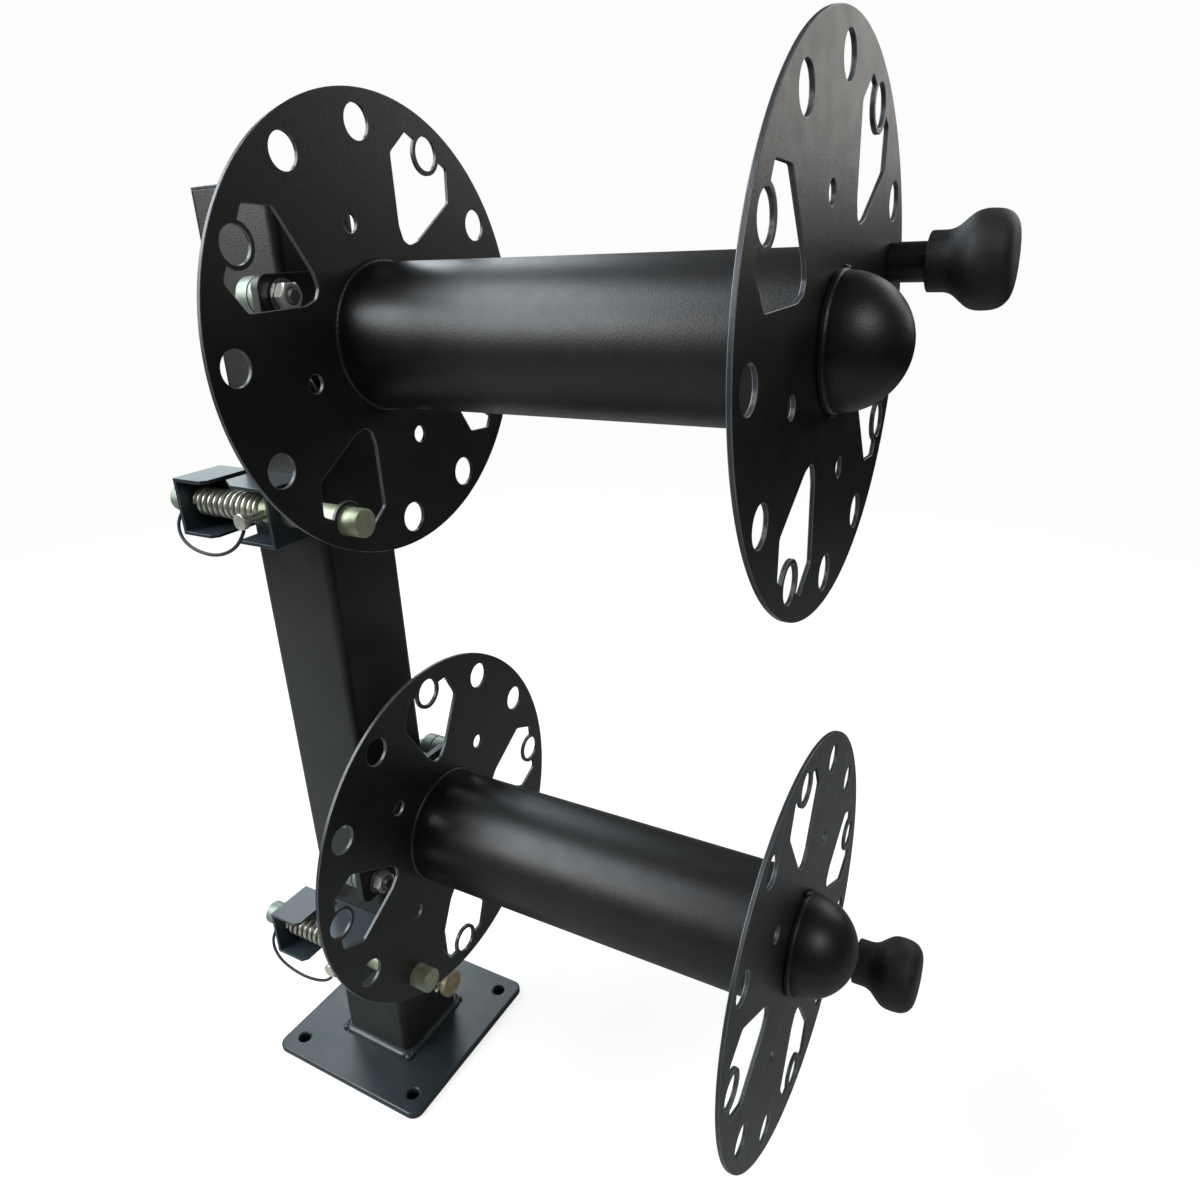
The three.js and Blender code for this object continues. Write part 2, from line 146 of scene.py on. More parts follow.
def makeRoom(spec):
    # the room looks white to the camera and stays dim in reflections
    world = bpy.data.worlds.new("paleRoom")
    world.use_nodes = True
    tree = world.node_tree
    air = tree.nodes["Background"]
    air.inputs["Color"].default_value = (*spec["air"], 1)
    tree.links.new(remap(tree, seenDirectly(tree), spec["airDim"], 1, 0, 1), air.inputs["Strength"])
    bpy.context.scene.world = world
    half = spec["floorSize"] / 2
    mesh = bpy.data.meshes.new("studioFloor")
    corners = [(x * half, y * half, spec["floorDepth"]) for x, y in ((-1, -1), (1, -1), (1, 1), (-1, 1))]
    mesh.from_pydata(corners, [], [(0, 1, 2, 3)])
    floor = bpy.data.objects.new("studioFloor", mesh)
    bpy.context.scene.collection.objects.link(floor)
    paint, tree, shader = startMaterial("floorPaint")
    place = tree.nodes.new("ShaderNodeTexCoord")
    distance = tree.nodes.new("ShaderNodeVectorMath")
    distance.operation = "LENGTH"
    tree.links.new(place.outputs["Object"], distance.inputs[0])
    far = remap(tree, distance.outputs["Value"], 0, 1, *spec["floorFade"])
    glow = combine(tree, "MULTIPLY", remap(tree, far, spec["floorGlow"], 1, 0, 1), seenDirectly(tree))
    # painted shade: under the base plate the floor has no glow and no colour, so its holes show dark;
    # distance there is the larger of |x| and |y|
    parts = tree.nodes.new("ShaderNodeSeparateXYZ")
    tree.links.new(place.outputs["Object"], parts.inputs[0])
    across = [combine(tree, "ABSOLUTE", parts.outputs[axis]) for axis in "XY"]
    foot = remap(tree, combine(tree, "MAXIMUM", *across), 0, 1, *spec["paintedFootShade"])
    tree.links.new(combine(tree, "MULTIPLY", glow, foot), shader.inputs["Emission Strength"])
    shade = combine(tree, "MULTIPLY", remap(tree, far, spec["floorPaint"], 0, 0, 1), foot)
    tree.links.new(shade, shader.inputs["Base Color"])
    shader.inputs["Specular IOR Level"].default_value = 0
    shader.inputs["Roughness"].default_value = 0.9
    shader.inputs["Emission Color"].default_value = (*spec["air"], 1)
    mesh.materials.append(paint)


def combine(tree, operation, *values):
    node = tree.nodes.new("ShaderNodeMath")
    node.operation = operation
    for value, socket in zip(values, node.inputs):
        tree.links.new(value, socket)
    return node.outputs["Value"]


def seenDirectly(tree):
    return tree.nodes.new("ShaderNodeLightPath").outputs["Is Camera Ray"]


makeCamera(camera)
makeLights(lights)
makeRoom(room)
bpy.context.scene.view_settings.view_transform = "Standard"
print("camera, lights and floor ready")


# ---- materials


def noise(tree, scale, detail=3.0, roughness=0.5, stretch=(1, 1, 1)):
    place = tree.nodes.new("ShaderNodeTexCoord")
    mapping = tree.nodes.new("ShaderNodeMapping")
    mapping.inputs["Scale"].default_value = stretch
    texture = tree.nodes.new("ShaderNodeTexNoise")
    texture.inputs["Scale"].default_value = scale
    texture.inputs["Detail"].default_value = detail
    texture.inputs["Roughness"].default_value = roughness
    tree.links.new(place.outputs["Object"], mapping.inputs["Vector"])
    tree.links.new(mapping.outputs["Vector"], texture.inputs["Vector"])
    return texture.outputs["Fac"]


def ramp(tree, value, stops):
    node = tree.nodes.new("ShaderNodeValToRGB")
    elements = node.color_ramp.elements
    while len(elements) < len(stops):
        elements.new(0.5)
    for element, (position, tint) in zip(elements, stops):
        element.position = position
        element.color = (*tint, 1)
    tree.links.new(value, node.inputs["Fac"])
    return node.outputs["Color"]


def bump(tree, height, strength, distance, below=None):
    node = tree.nodes.new("ShaderNodeBump")
    node.inputs["Strength"].default_value = strength
    node.inputs["Distance"].default_value = distance
    tree.links.new(height, node.inputs["Height"])
    if below is not None:
        tree.links.new(below, node.inputs["Normal"])
    return node.outputs["Normal"]


def mixColors(tree, share, first, second):
    node = tree.nodes.new("ShaderNodeMix")
    node.data_type = "RGBA"
    tree.links.new(share, node.inputs["Factor"])
    tree.links.new(first, node.inputs["A"])
    tree.links.new(second, node.inputs["B"])
    return node.outputs["Result"]


# Powder coat: cloudy near-black, orange peel, and a fine speckle of lighter grains; the lighter edge and
# wall copies are painted highlight
coats = {
    "blackCoat": {"dark": (0.0052, 0.0054, 0.0053), "light": (0.0085, 0.0088, 0.0086),
                  "speck": (0.024, 0.025, 0.025),
                  "sheenLow": 0.38, "sheenHigh": 0.43, "peel": 0.22, "slot": "black_coat"},
    "postCoat": {"dark": (0.0095, 0.0105, 0.0092), "light": (0.015, 0.0165, 0.0145),
                 "speck": (0.04, 0.043, 0.038),
                 "sheenLow": 0.36, "sheenHigh": 0.42, "peel": 0.3, "slot": "black_coat"},
    "blueCoat": {"dark": (0.0145, 0.0215, 0.0245), "light": (0.022, 0.032, 0.037),
                 "speck": (0.05, 0.06, 0.068),
                 "sheenLow": 0.3, "sheenHigh": 0.36, "peel": 0.14, "slot": "blue_coat"},
    "bracketCoat": {"dark": (0.0205, 0.0305, 0.0365), "light": (0.0245, 0.036, 0.043),
                    "speck": (0.034, 0.048, 0.056),
                    "sheenLow": 0.27, "sheenHigh": 0.3, "peel": 0.03, "slot": "blue_coat"},
    # painted highlight: much lighter copy of the black coat for the flanges' rounded rims
    "edgeHighlightCoat": {"dark": (0.07, 0.076, 0.084), "light": (0.15, 0.162, 0.178), "speck": (0.25, 0.27, 0.29),
                 "sheenLow": 0.24, "sheenHigh": 0.32, "peel": 0.05, "slot": "black_coat"},
    # painted highlight: lighter copy of the bracket coat for the bracket's bevelled edges
    "bracketEdgeHighlight": {"dark": (0.15, 0.175, 0.19), "light": (0.17, 0.195, 0.21), "speck": (0.2, 0.22, 0.24),
                    "sheenLow": 0.24, "sheenHigh": 0.32, "peel": 0.04, "slot": "blue_coat"},
    # painted light: lighter copy of the black coat for the walls of the flanges' edges and holes
    "litWallCoat": {"dark": (0.018, 0.0195, 0.021), "light": (0.036, 0.039, 0.042),
                 "speck": (0.07, 0.075, 0.08), "sheenLow": 0.28, "sheenHigh": 0.36, "peel": 0.08,
                 "slot": "black_coat"},
}


def makeCoat(name, spec):
    material, tree, shader = startMaterial(name)
    cloud = ramp(tree, noise(tree, 22, 4), [(0.3, spec["dark"]), (0.7, spec["light"])])
    grains = noise(tree, 2600, 1)
    speck = ramp(tree, grains, [(0.0, spec["speck"]), (1.0, spec["speck"])])
    share = remap(tree, grains, 0, 0.6, 0.68, 0.8)
    tree.links.new(mixColors(tree, share, cloud, speck), shader.inputs["Base Color"])
    tree.links.new(remap(tree, noise(tree, 60, 5), spec["sheenLow"], spec["sheenHigh"]),
                   shader.inputs["Roughness"])
    peel = bump(tree, noise(tree, 620, 2), spec["peel"], 0.0005)
    tree.links.new(bump(tree, grains, spec["peel"] * 0.6, 0.0002, peel), shader.inputs["Normal"])
    shader.inputs["Specular IOR Level"].default_value = 0.5
    return material


# Plated or bare metal: two tints in soft patches, fine turning marks, small scuffs
metals = {
    "oliveZinc": {"first": (0.31, 0.35, 0.23), "second": (0.42, 0.45, 0.31), "metal": 0.55,
                  "dull": (0.42, 0.54), "marks": 0.12, "slot": "yellow_zinc"},
    "tanZinc": {"first": (0.36, 0.29, 0.18), "second": (0.52, 0.45, 0.32), "metal": 0.75,
                "dull": (0.4, 0.55), "marks": 0.14, "slot": "yellow_zinc"},
    "paleZinc": {"first": (0.2, 0.25, 0.21), "second": (0.29, 0.33, 0.27), "metal": 0.7,
                 "dull": (0.44, 0.56), "marks": 0.1, "slot": "yellow_zinc"},
    "creamSteel": {"first": (0.62, 0.6, 0.48), "second": (0.82, 0.8, 0.66), "metal": 0.7,
                   "dull": (0.2, 0.34), "marks": 0.2, "slot": "yellow_zinc"},
    "brightSteel": {"first": (0.74, 0.74, 0.71), "second": (0.92, 0.91, 0.87), "metal": 0.65,
                    "dull": (0.14, 0.26), "marks": 0.1, "slot": "bright_steel"},
    "greySteel": {"first": (0.2, 0.2, 0.2), "second": (0.33, 0.33, 0.32), "metal": 1,
                  "dull": (0.35, 0.5), "marks": 0.2, "slot": "bright_steel"},
    "springWire": {"first": (0.54, 0.54, 0.46), "second": (0.7, 0.69, 0.6), "metal": 0.85,
                   "dull": (0.26, 0.38), "marks": 0.1, "slot": "spring_wire"},
    "bronzeBush": {"first": (0.32, 0.2, 0.09), "second": (0.45, 0.3, 0.15), "metal": 1,
                   "dull": (0.3, 0.5), "marks": 0.15, "slot": "bronze"},
}


def makeMetal(name, spec):
    material, tree, shader = startMaterial(name)
    patches = noise(tree, 90, 4)
    tree.links.new(ramp(tree, patches, [(0.35, spec["first"]), (0.65, spec["second"])]),
                   shader.inputs["Base Color"])
    tree.links.new(remap(tree, noise(tree, 240, 5), *spec["dull"]), shader.inputs["Roughness"])
    shader.inputs["Metallic"].default_value = spec["metal"]
    marks = bump(tree, noise(tree, 500, 2, 0.5, (0.3, 6, 0.3)), spec["marks"], 0.0002)
    tree.links.new(bump(tree, noise(tree, 1500, 2), spec["marks"], 0.0001, marks),
                   shader.inputs["Normal"])
    return material


plastics = {
    "knobPlastic": {"dark": (0.008, 0.008, 0.0085), "light": (0.02, 0.02, 0.0205), "dull": (0.4, 0.6),
                    "grain": 0.9, "slot": "knob_plastic"},
    "cordJacket": {"dark": (0.006, 0.006, 0.007), "light": (0.011, 0.0112, 0.012), "dull": (0.5, 0.62),
                   "grain": 0.1, "slot": "cord_jacket"},
}


def makePlastic(name, spec):
    material, tree, shader = startMaterial(name)
    tree.links.new(ramp(tree, noise(tree, 60, 3), [(0.3, spec["dark"]), (0.7, spec["light"])]),
                   shader.inputs["Base Color"])
    grain = noise(tree, 1500, 2)
    tree.links.new(remap(tree, grain, *spec["dull"]), shader.inputs["Roughness"])
    tree.links.new(bump(tree, grain, spec["grain"], 0.0004), shader.inputs["Normal"])
    return material


looks = {}
for makeLook, table in ((makeCoat, coats), (makeMetal, metals), (makePlastic, plastics)):
    for lookName, lookSpec in table.items():
        looks[lookName] = makeLook(lookName, lookSpec)
print("materials ready:", len(looks))


# ---- mesh tools, in millimetres


def addPiece(name, points, faces, look, body, stands=(), sharp=20, kinds=None, edgeLooks=()):
    # welds seams and poles, turns faces outwards; edges are sharp past an angle and where face kinds meet
    mesh = bpy.data.meshes.new(name)
    mesh.from_pydata((np.asarray(points) * metresPerMm).tolist(), [], [list(face) for face in faces])
    if kinds is not None:
        mesh.polygons.foreach_set("material_index", np.asarray(kinds, np.int32))
    shape = bmesh.new()
    shape.from_mesh(mesh)
    bmesh.ops.remove_doubles(shape, verts=shape.verts, dist=2e-6)
    bmesh.ops.recalc_face_normals(shape, faces=shape.faces)
    shape.to_mesh(mesh)
    mesh.shade_smooth()
    mesh.set_sharp_from_angle(angle=math.radians(sharp))
    if kinds is not None:
        shape.edges.ensure_lookup_table()
        for edge in shape.edges:
            if len({face.material_index for face in edge.link_faces}) > 1:
                mesh.edges[edge.index].use_edge_sharp = True
        if not edgeLooks:
            mesh.polygons.foreach_set("material_index", np.zeros(len(mesh.polygons), np.int32))
    shape.free()
    mesh.materials.append(looks[look])
    for extra in edgeLooks:
        mesh.materials.append(looks[extra])
    piece = bpy.data.objects.new(name, mesh)
    bpy.context.scene.collection.objects.link(piece)
    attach(piece, body)
    if stands:
        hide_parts(*stands)
    return piece


def gridFaces(rows, columns, closeRows=False, closeColumns=True):
    down = np.arange(rows if closeRows else rows - 1)
    across = np.arange(columns if closeColumns else columns - 1)
    a, b = np.meshgrid(down, across, indexing="ij")
    nextA, nextB = (a + 1) % rows, (b + 1) % columns
    corners = [a * columns + b, nextA * columns + b, nextA * columns + nextB, a * columns + nextB]
    return np.stack(corners, -1).reshape(-1, 4)


def softCorners(points, cut, steps=4, closed=False):
    # corner P becomes (1-t)^2 S + 2t(1-t) P + t^2 E, with S and E on its two edges, a cut away
    points = np.asarray(points, float)
    toBefore, toAfter = np.roll(points, 1, 0) - points, np.roll(points, -1, 0) - points
    before = np.maximum(np.linalg.norm(toBefore, axis=1), 1e-9)
    after = np.maximum(np.linalg.norm(toAfter, axis=1), 1e-9)
    reach = np.minimum(cut, 0.45 * np.minimum(before, after))
    if not closed:
        reach[[0, -1]] = 0
    start = points + toBefore * (reach / before)[:, None]
    end = points + toAfter * (reach / after)[:, None]
    t = np.linspace(0, 1, steps + 1)[:, None, None]
    curve = (1 - t) ** 2 * start + 2 * t * (1 - t) * points + t**2 * end
    return curve.transpose(1, 0, 2).reshape(-1, points.shape[1])


def smoothLine(points, steps):
    # Catmull-Rom: 0.5 (2 P1 + (P2-P0) t + (2 P0 - 5 P1 + 4 P2 - P3) t^2 + (3 P1 - P0 - 3 P2 + P3) t^3)
    points = np.asarray(points, float)
    longer = np.vstack([2 * points[0] - points[1], points, 2 * points[-1] - points[-2]])
    p0, p1, p2, p3 = longer[:-3], longer[1:-2], longer[2:-1], longer[3:]
    t = np.linspace(0, 1, steps, endpoint=False)[:, None, None]
    square = 2 * p0 - 5 * p1 + 4 * p2 - p3
    cube = 3 * p1 - p0 - 3 * p2 + p3
    curve = 0.5 * (2 * p1 + (p2 - p0) * t + square * t**2 + cube * t**3)
    return np.vstack([curve.transpose(1, 0, 2).reshape(-1, points.shape[1]), points[-1]])


def turned(profile, middle, steps=64, closed=False, axis="y"):
    # profile rows are (radius, along): point = middle + (r cos a, along, r sin a), a from 0 to 2 pi
    radius, along = np.asarray(profile, float).T
    angle = np.linspace(0, 2 * np.pi, steps, endpoint=False)
    across = radius[:, None] * np.cos(angle)
    up = radius[:, None] * np.sin(angle)
    length = np.repeat(along[:, None], steps, axis=1)
    order = {"y": (across, length, up), "x": (length, across, up), "z": (across, up, length)}[axis]
    points = np.stack(order, -1).reshape(-1, 3) + np.asarray(middle)
    return points, gridFaces(len(radius), steps, closeRows=closed)


def sweep(path, section, reference=(1, 0, 0), closedPath=False):
    # point = path(s) + u(s, a) n(s) + v(s, a) b(s), with n square to the path and nearest the reference
    path = np.asarray(path, float)
    if closedPath:
        tangent = np.roll(path, -1, 0) - np.roll(path, 1, 0)
    else:
        tangent = np.gradient(path, axis=0)
    tangent /= np.linalg.norm(tangent, axis=1)[:, None]
    reference = np.broadcast_to(np.asarray(reference, float), path.shape)
    normal = reference - (reference * tangent).sum(1)[:, None] * tangent
    normal /= np.linalg.norm(normal, axis=1)[:, None]
    binormal = np.cross(tangent, normal)
    u, v = np.broadcast_arrays(section[..., 0], section[..., 1])
    rings = path[:, None] + u[..., None] * normal[:, None] + v[..., None] * binormal[:, None]
    if closedPath:
        return rings.reshape(-1, 3), gridFaces(len(path), rings.shape[1], closeRows=True)
    ends = np.repeat(path[[0, -1]][:, None], rings.shape[1], axis=1)
    rings = np.concatenate([ends[:1], rings, ends[1:]])
    return rings.reshape(-1, 3), gridFaces(len(path) + 2, rings.shape[1])


def ring(radius, sides):
    angle = np.linspace(0, 2 * np.pi, sides, endpoint=False)
    return np.stack([radius * np.cos(angle), radius * np.sin(angle)], -1)[None]


def circleLoop(x, y, radius, steps=40):
    angle = np.linspace(0, 2 * np.pi, steps, endpoint=False)
    return np.stack([x + radius * np.cos(angle), y + radius * np.sin(angle)], -1)


def roundedLoop(width, height, corner, steps=8):
    # four quarter circles: centre (+-(w/2 - c), +-(h/2 - c)), radius c
    angle = np.linspace(0, np.pi / 2, steps + 1)
    quarters = [np.stack([corner * np.cos(angle + k * np.pi / 2),
                          corner * np.sin(angle + k * np.pi / 2)], -1)
                for k in range(4)]
    x, y = width / 2 - corner, height / 2 - corner
    centres = ((x, y), (-x, y), (-x, -y), (x, -y))
    return np.concatenate([quarter + centre for quarter, centre in zip(quarters, centres)])


def woundLoop(loop, clockwise):
    x, y = loop.T
    area = (x * np.roll(y, -1) - np.roll(x, -1) * y).sum()
    return loop[::-1] if (area > 0) == clockwise else loop


def towardsMetal(loop):
    # mean of the two left-hand edge normals, lengthened so that an offset stays even along both edges
    edge = np.roll(loop, -1, 0) - loop
    left = np.stack([-edge[:, 1], edge[:, 0]], -1)
    left /= np.maximum(np.linalg.norm(left, axis=1), 1e-9)[:, None]
    mean = left + np.roll(left, 1, 0)
    mean /= np.linalg.norm(mean, axis=1)[:, None]
    return mean / np.maximum((mean * left).sum(1), 0.5)[:, None]


def sheetMetal(loops, thick, edge, place, steps=4):
    # rims: inset e(1 - sin f), depth e(1 - cos f), f from 0 to 90 degrees; flats fill between them
    turn = np.linspace(0, np.pi / 2, steps + 1)
    inset = edge * (1 - np.sin(turn))
    depth = edge * (1 - np.cos(turn))
    inset, depth = np.r_[inset, inset[::-1]], np.r_[depth, thick - depth[::-1]]
    points, faces, kinds, flatLoops, count = [], [], [], [], 0
    for number, loop in enumerate(loops):
        loop = woundLoop(np.asarray(loop, float), clockwise=number > 0)
        keep = np.linalg.norm(np.roll(loop, -1, 0) - loop, axis=1) > 1e-4
        loop = loop[keep]
        rows = loop + inset[:, None, None] * towardsMetal(loop)
        flatLoops.append(rows[0])
        levels = np.repeat(depth[:, None], len(loop), axis=1)
        points.append(np.concatenate([rows, levels[..., None]], -1).reshape(-1, 3))
        faces += (gridFaces(len(inset), len(loop)) + count).tolist()
        rowOf = np.repeat(np.arange(len(inset) - 1), len(loop))
        kinds += np.where(rowOf == steps, 1, 2).tolist()
        count += len(points[-1])
    flat, triangles = fillLoops(flatLoops)
    for level in (0, thick):
        points.append(np.c_[flat, np.full(len(flat), level)])
        faces += (triangles + count).tolist()
        kinds += [0] * len(triangles)
        count += len(flat)
    return place(np.concatenate(points)), faces, kinds


def fillLoops(loops):
    # triangles whose centre a ray to +x leaves through an odd number of loop edges
    corners = np.concatenate(loops)
    sizes = [len(loop) for loop in loops]
    starts = np.cumsum([0] + sizes[:-1])
    edges = np.concatenate([np.stack([np.arange(n), (np.arange(n) + 1) % n], -1) + start
                            for start, n in zip(starts, sizes)])
    filled = geometry.delaunay_2d_cdt([Vector(corner) for corner in corners.tolist()], edges.tolist(),
                                      [], 1, 1e-5)
    flat, triangles = np.array([tuple(corner) for corner in filled[0]]), np.array(filled[2])
    middle = flat[triangles].mean(1)[:, None]
    a, b = corners[edges[:, 0]], corners[edges[:, 1]]
    spans = (a[:, 1] > middle[..., 1]) != (b[:, 1] > middle[..., 1])
    rise = np.where(a[:, 1] == b[:, 1], 1, b[:, 1] - a[:, 1])
    crossing = a[:, 0] + (middle[..., 1] - a[:, 1]) * (b[:, 0] - a[:, 0]) / rise
    inside = (spans & (crossing > middle[..., 0])).sum(1) % 2 == 1
    return flat, triangles[inside]


def upFrom(x, y, z):
    return lambda p: p + np.array([x, y, z])


def facing(x, y, z, angle=0.0):
    # sheet drawn in x and z, turned by the angle, its thickness running towards -Y from y
    c, s = math.cos(angle), math.sin(angle)
    return lambda p: np.stack([x + c * p[:, 0] - s * p[:, 1], y - p[:, 2],
                               z + s * p[:, 0] + c * p[:, 1]], -1)


def span(node):
    low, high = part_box(node)
    return np.array(low) / metresPerMm, np.array(high) / metresPerMm


def middleOf(node):
    low, high = span(node)
    return (low + high) / 2


def carryOver(node, look):
    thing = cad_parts[node]
    thing.data.materials.clear()
    thing.data.materials.append(looks[look])


# ---- lanyards

lanyard = {
    "diameter": 3.0,
    "sides": 16,
    # x from the stand's middle, y, and height above the pin's axis
    "route": [
        (-82.6, 84, -7.4), (-87, 84.2, -11.5), (-91, 83.5, -17.5), (-94, 80.5, -24), (-96.2, 74.5, -30),
        (-97.8, 66, -34.3), (-98.8, 56, -37), (-99.5, 45, -38.3), (-100.2, 34, -38.2), (-101, 23, -36.4),
        (-102, 12, -33), (-103.3, 1.5, -28.2), (-104.8, -8, -22.2), (-106.3, -16, -15.2),
        (-107, -21, -9.5), (-107, -22, -7.4),
    ],
}


def makeLanyard(reel):
    pinZ = middleOf(f"{reel}_lock_plunger")[2]
    path = smoothLine(np.array(lanyard["route"]) + (0, 0, pinZ), 6)
    points, faces = sweep(path, ring(lanyard["diameter"] / 2, lanyard["sides"]))
    cord = addPiece(f"{reel}Lanyard", points, faces, "cordJacket", f"{reel}_lock",
                    [f"{reel}_lock_lanyard"], 40)
    length = np.linalg.norm(np.diff(path, axis=0), axis=1).sum() * metresPerMm
    return float(length)


for reel in reels:
    print(f"{reel} lanyard, {makeLanyard(reel):.3f} m")


# ---- stand

basePlate = {"corner": 12, "edge": 2.2, "holePitch": 162, "holeRadius": 6.5}
post = {"corner": 8, "innerCorner": 3, "wall": 5, "edge": 0.8}
postCap = {"corner": 8, "dome": 2.4}
footWeld = {"leg": 6.4, "ripple": 0.006, "pitch": 7, "waver": 0.03, "waverLong": 23, "sides": 16,
            "blob": 4.8, "blobStep": 0.6, "blobOut": 1.5}
stud = {"shank": 8, "headThick": 7, "lip": 0.7, "cut": 0.8, "pinReach": 17, "pinRadius": 2.2,
        "pinBack": 4, "pinCut": 0.6}


def makeBase():
    low, high = span("base_plate")
    size = high - low
    half = basePlate["holePitch"] / 2
    loops = [roundedLoop(size[0], size[1], basePlate["corner"], 12)]
    loops += [circleLoop(x * half, y * half, basePlate["holeRadius"]) for x in (-1, 1) for y in (-1, 1)]
    place = upFrom(*((low + high) / 2)[:2], low[2])
    points, faces, kinds = sheetMetal(loops, size[2], basePlate["edge"], place)
    addPiece("basePlate", points, faces, "blueCoat", "stand", ["base_plate"], kinds=kinds)


def makePost():
    low, high = span("post")
    size = high - low
    inside = size[0] - 2 * post["wall"]
    loops = [roundedLoop(size[0], size[1], post["corner"], 8),
             roundedLoop(inside, inside, post["innerCorner"], 6)]
    points, faces, kinds = sheetMetal(loops, size[2], post["edge"],
                                      upFrom(*((low + high) / 2)[:2], low[2]))
    addPiece("postTube", points, faces, "postCoat", "stand", ["post"], kinds=kinds)


def makePostCap():
    # rounded square rows shrink from full width to the middle while the top rises d (1 - (1 - k)^4)
    low, high = span("post_cap")
    width = high[0] - low[0]
    start = span("post")[1][2] + 0.3
    rise = np.linspace(0, 1, 14)
    rows = [roundedLoop(width, width, postCap["corner"], 8) * (1 - k) for k in rise]
    lift = high[2] - postCap["dome"] + postCap["dome"] * (1 - (1 - rise) ** 4)
    skirt = roundedLoop(width, width, postCap["corner"], 8)
    levels = np.r_[start, lift]
    rings = np.stack([skirt] + rows)
    points = np.concatenate([rings, np.repeat(levels[:, None], len(skirt), 1)[..., None]], -1)
    floor = np.concatenate([skirt * 0, np.full((len(skirt), 1), start)], -1)[None]
    points = np.concatenate([floor, points]).reshape(-1, 3)
    addPiece("postCap", points, gridFaces(len(levels) + 1, len(skirt)), "knobPlastic", "stand",
             ["post_cap"], 35)


def makeFootWeld():
    # bead round the post's foot, radius L (1 + a sin(2 pi s / p) + w sin(s / q)), s the way along it
    low, high = span("post")
    width = high[0] - low[0] + 0.6
    loop = roundedLoop(width, width, post["corner"], 8)
    around = np.concatenate([loop, loop[:1]])
    travel = np.r_[0, np.cumsum(np.linalg.norm(np.diff(around, axis=0), axis=1))]
    steps = np.linspace(0, travel[-1], 420, endpoint=False)
    sides = [np.interp(steps, travel, around[:, k]) for k in (0, 1)]
    path = np.stack(sides + [np.full(len(steps), low[2])], -1)
    wave = footWeld["ripple"] * np.sin(2 * np.pi * steps / footWeld["pitch"])
    wave = wave + footWeld["waver"] * np.sin(steps / footWeld["waverLong"])
    angle = np.linspace(0, 2 * np.pi, footWeld["sides"], endpoint=False)
    leg = footWeld["leg"] * (1 + wave[:, None])
    section = np.stack([leg * np.sin(angle), leg * np.cos(angle)], -1)
    points, faces = sweep(path, section, (0, 0, 1), closedPath=True)
    # flat underside, and a slope in place of the round outside
    rise = np.maximum(points[:, 2] - low[2], -0.15)
    points[:, 2] = low[2] + rise * 0.8
    addPiece("footWeld", points, faces, "blueCoat", "stand", ["post_foot_weld"], 60)
    half = width / 2
    for number, (x, y) in enumerate(((-1, -1), (-1, 1), (1, -1))):
        out = half + footWeld["blobOut"]
        bead = roundBead(footWeld["blob"] - footWeld["blobStep"] * number)
        points, faces = turned(bead, (out * x, out * y, low[2] + 1), 24, axis="z")
        addPiece(f"weldEnd{number + 1}", points, faces, "blueCoat", "stand", (), 60)


def roundBead(size):
    # flattened ball: (s cos f, 0.75 s sin f), f from -10 to 90 degrees, closed underneath
    turn = np.linspace(math.radians(-10), math.pi / 2, 12)
    side = np.stack([size * np.cos(turn), 0.75 * size * np.sin(turn)], -1)
    side[-1, 0] = 0
    return np.vstack([[(0, side[0, 1])], side])


def makeStud():
    # headed pin: shank, round head with a raised face, and a short split pin through the shank
    low, high = span("front_stud")
    x, _, z = (low + high) / 2
    head = (high[0] - low[0]) / 2
    front, back, neck = low[1], high[1], low[1] + stud["headThick"]
    face = front + stud["lip"]
    profile = [(0, back), (stud["shank"], back), (stud["shank"], neck), (head, neck), (head, face),
               (head - stud["lip"] * 3, face), (head - stud["lip"] * 4, front), (0, front)]
    points, faces = turned(softCorners(profile, stud["cut"]), (x, 0, z), 56)
    addPiece("frontStud", points, faces, "tanZinc", "stand", ["front_stud"])
    reach, thin = stud["pinReach"], stud["pinRadius"]
    rod = softCorners([(0, -reach), (thin, -reach), (thin, reach), (0, reach)], stud["pinCut"])
    points, faces = turned(rod, (x, neck + stud["pinBack"], z), 20, axis="x")
    addPiece("frontStudPin", points, faces, "brightSteel", "stand")


makeBase()
makePost()
makePostCap()
makeFootWeld()
makeStud()
print("stand ready")


# ---- reel mount

mountPlate = {"corner": 10, "edge": 1.0, "centreHole": 20.4, "boltHole": 6.4}
nutSpec = {"flats": 19.0, "bore": 6.2, "cornerCut": 0.94, "sides": 72}
washerSpec = {"radius": 13.0, "bore": 6.3, "thick": 1.9, "edge": 0.35}
threadSpec = {"pitch": 1.75, "depth": 0.5, "columns": 36, "rowsPerTurn": 8}
collarSpec = {"radius": 15, "long": 13, "groove": 13.4, "grooveHalf": 0.5, "tail": 7, "bolt": 6,
              "cut": 1.4}
spindle = {"radius": 20, "thread": 12, "cut": 1.2}
gap = 0.3  # between pieces that touch


def nutSurface(middle, back, front, spec):
    # radius h / cos(a mod 60 deg - 30 deg), cut back at both faces by a 30 degree cone from a face circle
    angle = np.linspace(0, 2 * np.pi, spec["sides"], endpoint=False)
    half = spec["flats"] / 2
    hexagon = half / np.cos(angle % (np.pi / 3) - np.pi / 6)
    face = np.full_like(hexagon, half * spec["cornerCut"])
    drop = (hexagon - face) * math.tan(math.radians(30))
    bore = np.full_like(hexagon, spec["bore"])
    mouth = bore + 0.9
    radius = np.stack([bore, mouth, face, hexagon, hexagon, face, mouth, bore])
    along = np.stack([back - 0.9 + 0 * drop, back + 0 * drop, back + 0 * drop, back - drop, front + drop,
                      front + 0 * drop, front + 0 * drop, front + 0.9 + 0 * drop])
    points = np.stack([radius * np.cos(angle), along, radius * np.sin(angle)],
                      -1).reshape(-1, 3) + np.asarray(middle)
    return points, gridFaces(len(radius), spec["sides"], closeRows=True)


